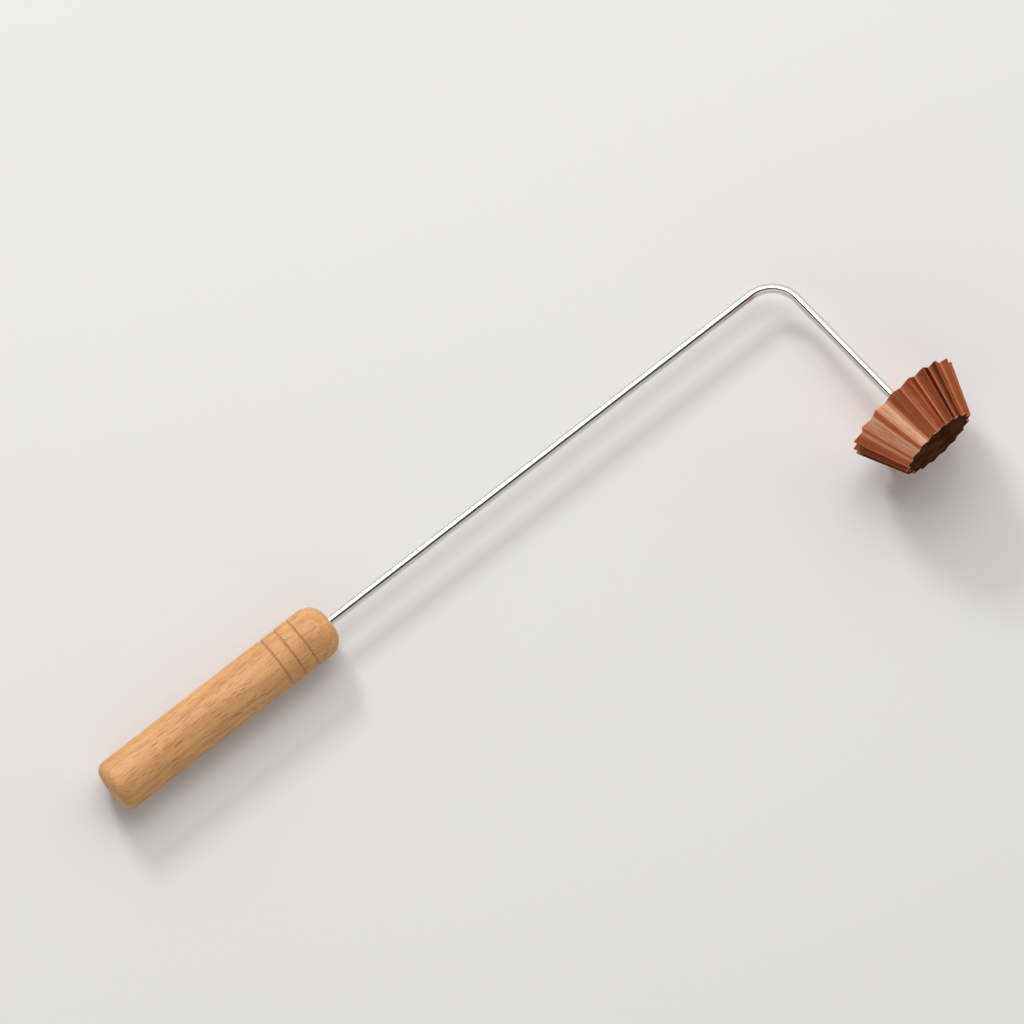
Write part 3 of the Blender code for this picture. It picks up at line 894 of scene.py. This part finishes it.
def flute_line(radius, depth, crest_width, faults, scale):
    """The outline with rounded corners and points down its sides, as (points, paints)."""
    corners = flute_outline(radius, depth, crest_width, faults)
    count = len(corners)

    def rounded_corner(index):
        corner, on_crest = corners[index % count]
        edge = (CREST_EDGE_RADIUS if on_crest else VALLEY_EDGE_RADIUS) * scale
        after = corners[(index + 1) % count][0]
        return rounded(corners[(index - 1) % count][0], corner, after, edge, SMALL_ARC_STEPS)

    points = []
    paints = []
    for index, (_, on_crest) in enumerate(corners):
        corner_points = rounded_corner(index)
        # The last corner of a flute already lies next to the following ridge
        flute, number = divmod(index, CORNERS_PER_FLUTE)
        ridge = flute + 1 if number == CORNERS_PER_FLUTE - 1 else flute
        points += corner_points
        paints += [corner_paint(ridge, on_crest)] * len(corner_points)
        if on_crest == corners[(index + 1) % count][1]:
            continue
        start = Vector(corner_points[-1])
        end = Vector(rounded_corner(index + 1)[0])
        near = VALLEY_EDGE_RADIUS * scale / (end - start).length
        for share in (near, *np.linspace(*FACET_ENDS, FACET_STEPS), 1 - near):
            points.append(tuple(start.lerp(end, share)))
            paints.append(side_paint(ridge, share if on_crest else 1 - share, on_crest))
    return np.array(points), np.array(paints)


def inset(outline, by):
    """The outline drawn in towards the axis."""
    radii = np.linalg.norm(outline, axis=1, keepdims=True)
    return outline * (radii - by) / radii


def head_levels(rim, narrow, ragged):
    """(outline, height, end edge paint, face paint) for each level, from the hole's end over the
    rim to the middle of the narrow end. Levels close to the bevels hold the shading flat.
    """
    angles = np.arctan2(rim[:, 1], rim[:, 0])
    circle = np.stack([np.cos(angles), np.sin(angles)], axis=1)
    bevel = HEAD_EDGE_RADIUS
    quarter = [math.radians(90) * step / SMALL_ARC_STEPS for step in range(SMALL_ARC_STEPS + 1)]
    hole_depth = THREAD_IN_HEAD + HOLE_SPARE_DEPTH
    rim_face = (RIM_RADIUS - RIM_FLUTE_DEPTH) * FACE_SHARE
    narrow_face = (NARROW_RADIUS - NARROW_FLUTE_DEPTH) * FACE_SHARE

    def section(height, by=0.0):
        plain = rim + (narrow - rim) * (height / HEAD_HEIGHT)
        reach = BURR_SIZE * math.exp(-((height / BURR_REACH) ** 2))
        return inset(plain, by - ragged[:, None] * reach)

    levels = [
        (circle * 0, hole_depth + ROD_RADIUS * math.tan(DRILL_POINT_ANGLE), 0, 1),
        (circle * ROD_RADIUS, hole_depth, 0, 1),
        (circle * ROD_RADIUS, HOLE_COUNTERSINK, 0, 1),
    ]
    for radius in np.linspace(ROD_RADIUS + HOLE_COUNTERSINK, rim_face, FACE_STEPS):
        levels.append((circle * radius, 0, 0, 1))
    levels.append((section(0, bevel + HOLD_DISTANCE), 0, 0, 1))
    for angle in quarter:
        height = bevel * (1 - math.cos(angle))
        levels.append((section(height, bevel * (1 - math.sin(angle))), height, 1, 0))
    slant = np.linspace(5 * bevel, HEAD_HEIGHT - 2 * bevel, SLANT_STEPS)
    for height in (2 * bevel, 3 * bevel, *slant):
        levels.append((section(height), height, 0, 0))
    for angle in reversed(quarter):
        height = HEAD_HEIGHT - bevel * (1 - math.cos(angle))
        levels.append((section(height, bevel * (1 - math.sin(angle))), height, 1, 0))
    levels.append((section(HEAD_HEIGHT, bevel + HOLD_DISTANCE), HEAD_HEIGHT, 0, 1))
    for radius in np.linspace(narrow_face, 0, FACE_STEPS):
        levels.append((circle * radius, HEAD_HEIGHT, 0, 1))
    return levels


def make_head():
    chance = np.random.RandomState(FAULT_SEED)
    faults = ridge_faults(chance)
    rim, paints = flute_line(RIM_RADIUS, RIM_FLUTE_DEPTH, RIM_CREST_WIDTH, faults, 1.0)
    narrow, _ = flute_line(NARROW_RADIUS, NARROW_FLUTE_DEPTH, NARROW_CREST_WIDTH, faults, NARROW_SCALE)
    crest, valley, painted_light, painted_shade, rim_wear_and_highlight = paints.T
    ragged = chance.uniform(*BURR_RANGE, len(rim)) * crest
    outlines, heights, edges, faces = zip(*head_levels(rim, narrow, ragged))

    place = LEG @ Matrix.Translation((0, 0, LEG_LENGTH)) @ Matrix.Rotation(FLUTE_TURN, 4, "Z")
    rings = []
    for outline, height in zip(outlines, heights):
        rings.append([place @ Vector((x, y, height)) for x, y in outline])

    height = np.array(heights)[:, None]
    edge = np.array(edges)[:, None]
    face = np.array(faces)[:, None] * np.ones(len(rim))
    side = 1 - face
    # Rim wear and painted highlight, fading away from the rim
    rim_wear_and_glint = rim_wear_and_highlight * np.exp(-((height / RIM_WEAR_AND_HIGHLIGHT_REACH) ** 2))
    # Painted light, painted shade and painted highlight lines, kept off the end faces
    layers = {
        "end_edge": np.maximum(rim_wear_and_glint * side, edge),
        "face": face,
        "narrow_face": face * (height == HEAD_HEIGHT),
        "crest": crest * side,
        "valley": valley * side,
        "painted_light": np.maximum(painted_light, rim_wear_and_glint) * side,
        "painted_shade": painted_shade * (1 - rim_wear_and_glint) * side,
    }
    mesh = ring_mesh("copper_head", rings, layers)
    add_piece(mesh, machined_copper(), "head", "fluted_head", sharp_degrees=60)


def make_floor():
    shader = Material("pale_floor")
    shader.set(Base_Color=FLOOR_COLOUR, Roughness=0.9, Specular_IOR_Level=0.2)
    mesh = bpy.data.meshes.new("floor")
    half = FLOOR_SIZE / 2
    corners = [(-half, -half, 0), (half, -half, 0), (half, half, 0), (-half, half, 0)]
    mesh.from_pydata(corners, [], [(0, 1, 2, 3)])
    mesh.materials.append(shader.material)
    floor = bpy.data.objects.new("floor", mesh)
    bpy.context.scene.collection.objects.link(floor)
    floor.location = (0, 0, -FLOOR_DROP)


def add_lamps():
    """Soft lamps that face the object."""
    for name, lamp in LAMPS.items():
        light = bpy.data.lights.new(name, "AREA")
        light.shape = "RECTANGLE"
        light.size, light.size_y = lamp["size"]
        light.energy = lamp["power"]
        holder = bpy.data.objects.new(name, light)
        bpy.context.scene.collection.objects.link(holder)
        bearing = math.radians(lamp["bearing"])
        elevation = math.radians(lamp["elevation"])
        level = math.cos(elevation)
        back = Vector((math.cos(bearing) * level, math.sin(bearing) * level, math.sin(elevation)))
        holder.location = back * LAMP_DISTANCE
        holder.rotation_euler = back.to_track_quat("Z", "Y").to_euler()


def make_world():
    """A dark strip of ceiling between a bright side, where the lamps are, and a paler one."""
    world = bpy.data.worlds.new("studio")
    bpy.context.scene.world = world
    world.use_nodes = True
    shader = Shader(world.node_tree)
    direction = shader.coordinates("Generated")
    across = shader.dot(direction, ACROSS_CEILING)
    front = shader.spread(across, *FRONT_LIGHT_EDGES, CEILING_LIGHT, FRONT_LIGHT)
    back = shader.spread(across, *BACK_LIGHT_EDGES, 0.0, BACK_LIGHT)
    height = shader.dot(direction, (0, 0, 1))
    above_horizon = shader.spread(height, 0.0, HORIZON_BLUR, HORIZON_SHARE, 1.0)
    strength = shader.times(shader.math("ADD", front, back), above_horizon)
    background = world.node_tree.nodes["Background"]
    shader.fill(background.inputs["Strength"], strength)
    shader.fill(background.inputs["Color"], SKY_COLOUR)


def make_camera():
    data = bpy.data.cameras.new("camera")
    data.lens = CAMERA_LENS
    data.sensor_width = CAMERA_SENSOR
    camera = bpy.data.objects.new("camera", data)
    bpy.context.scene.collection.objects.link(camera)
    camera.rotation_euler = CAMERA_TURNS
    back = camera.rotation_euler.to_matrix() @ Vector((0, 0, 1))
    camera.location = CAMERA_TARGET + back * CAMERA_DISTANCE
    data.clip_end = FLOOR_SIZE
    bpy.context.scene.camera = camera


make_handle()
make_rod()
make_nut()
make_washer()
make_head()
make_floor()
make_world()
add_lamps()
make_camera()
bpy.context.scene.view_settings.view_transform = "Standard"
